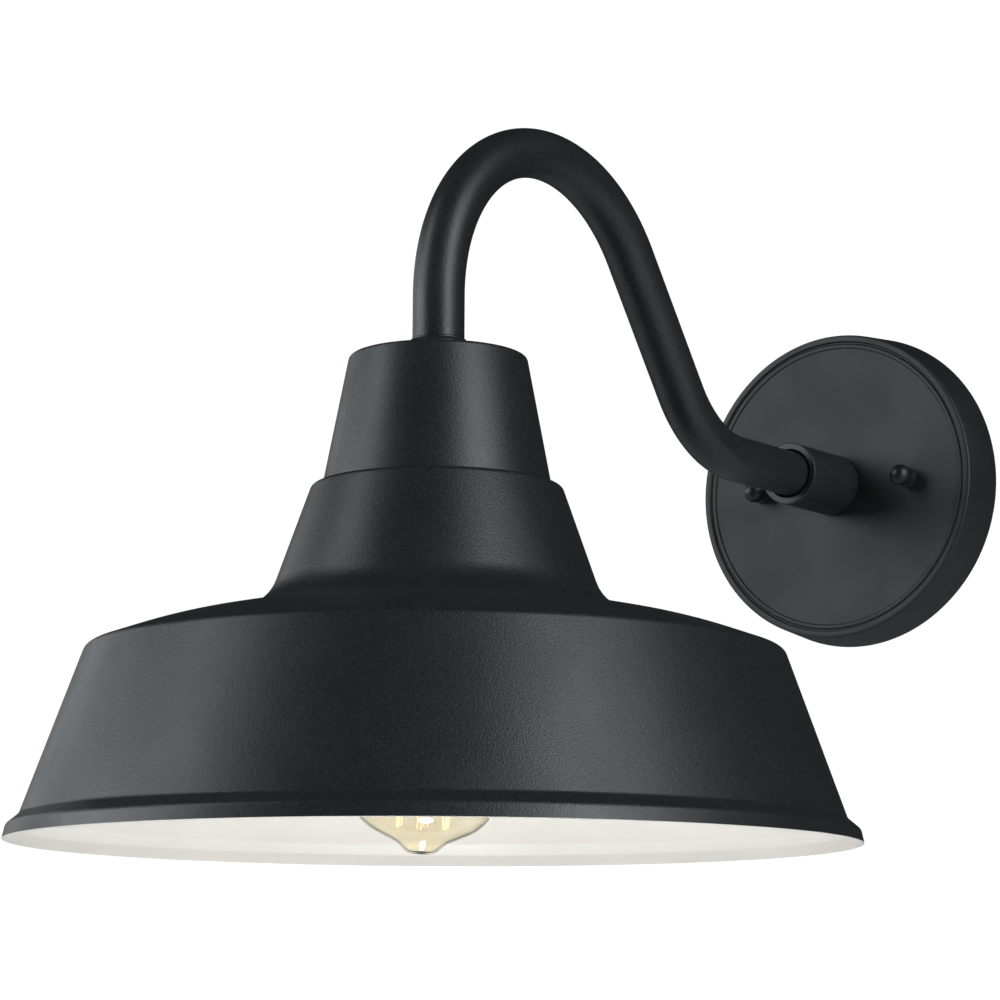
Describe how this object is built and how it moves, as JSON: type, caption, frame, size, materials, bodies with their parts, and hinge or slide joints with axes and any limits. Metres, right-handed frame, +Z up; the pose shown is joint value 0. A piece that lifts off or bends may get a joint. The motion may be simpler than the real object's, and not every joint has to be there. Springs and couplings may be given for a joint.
{
  "type": "wall lantern",
  "caption": "Outdoor wall lantern with a round canopy, a gooseneck arm and a downward barn shade over a screw-in filament bulb.",
  "frame": {"origin": "centre of the canopy on the wall plane", "axes": "+Z up, +Y into the wall, so the lantern stands out towards -Y; +X to the right as seen from the room"},
  "size_m": [0.3564, 0.5325, 0.3306],
  "materials": {
    "canopy_black": "satin black",
    "powder_black": "fine textured black powder coat",
    "shade_paint": "fine textured black powder coat outside, gloss white inside",
    "knob_black": "semi-gloss black",
    "foam": "closed-cell foam",
    "rubber": "matte",
    "zinc": "zinc plated",
    "green_screw": "green plated",
    "brass": "bright",
    "porcelain": "white glaze",
    "lead_black": "satin",
    "lead_white": "satin",
    "copper": "bare copper",
    "connector": "ribbed",
    "amber_glass": "clear amber",
    "clear_glass": "clear",
    "black_glass": "black glass",
    "solder": "tinned",
    "filament": "fine wire"
  },
  "bodies": {
    "fixture": {"arm_collar": "powder_black", "arm_sleeve": "powder_black", "arm_tube": "powder_black", "bar_eyelet": "zinc", "box_bar": "zinc", "canopy": "canopy_black", "canopy_gasket": "foam", "canopy_nipple": "zinc", "canopy_nut": "zinc", "canopy_washer": "zinc", "cap_nut": "zinc", "cap_washer": "zinc", "fixture_bar": "zinc", "ground_lead": "copper", "ground_screw": "green_screw", "ground_terminal": "brass", "lead_black": "lead_black", "lead_white": "lead_white", "neck_cap": "powder_black", "shade": "shade_paint", "shade_nipple": "zinc", "shade_strap": "zinc", "sleeve_set_screw": "zinc", "socket_body": "porcelain", "socket_bracket": "zinc", "socket_contact": "brass", "socket_nut_lower": "zinc", "socket_nut_upper": "zinc", "socket_screw_front": "zinc", "socket_screw_rear": "zinc", "socket_shell": "brass", "strap_nut_left": "zinc", "strap_nut_right": "zinc", "strap_screw_left": "zinc", "strap_screw_right": "zinc", "stud_left": "zinc", "stud_nut_left": "zinc", "stud_nut_right": "zinc", "stud_right": "zinc", "wire_connector_black": "connector", "wire_connector_white": "connector"},
    "bulb_base": {"bulb_contact": "solder"},
    "bulb": {"bulb_cap": "brass", "bulb_filament": "filament", "bulb_glass": "amber_glass", "bulb_insulator": "black_glass", "bulb_stem": "clear_glass"},
    "washer_left": {"knob_washer_left": "rubber"},
    "knob_left": {"knob_left": "knob_black"},
    "washer_right": {"knob_washer_right": "rubber"},
    "knob_right": {"knob_right": "knob_black"}
  },
  "joints": [
    {"name": "bulb_travel", "type": "slide", "parent": "fixture", "child": "bulb_base", "axis": [0, 0, -1], "range_m": [0, 0.02177]},
    {"name": "bulb_turn", "type": "hinge", "parent": "bulb_base", "child": "bulb", "pos_m": [0, -0.3543, -0.08], "axis": [0, 0, -1], "range_deg": [0, 2160]},
    {"name": "knob_left_travel", "type": "slide", "parent": "fixture", "child": "washer_left", "axis": [0, -1, 0], "range_m": [0, 0.00476]},
    {"name": "knob_left_turn", "type": "hinge", "parent": "washer_left", "child": "knob_left", "pos_m": [-0.0433, -0.0333, 0], "axis": [0, -1, 0], "range_deg": [0, 2160]},
    {"name": "knob_right_travel", "type": "slide", "parent": "fixture", "child": "washer_right", "axis": [0, -1, 0], "range_m": [0, 0.00476]},
    {"name": "knob_right_turn", "type": "hinge", "parent": "washer_right", "child": "knob_right", "pos_m": [0.0433, -0.0333, 0], "axis": [0, -1, 0], "range_deg": [0, 2160]}
  ],
  "couplings": [
    {"joint": "bulb_turn", "follows": "bulb_travel", "rad_per_m": 1731.6},
    {"joint": "knob_left_turn", "follows": "knob_left_travel", "rad_per_m": 7915.8},
    {"joint": "knob_right_turn", "follows": "knob_right_travel", "rad_per_m": 7915.8}
  ]
}
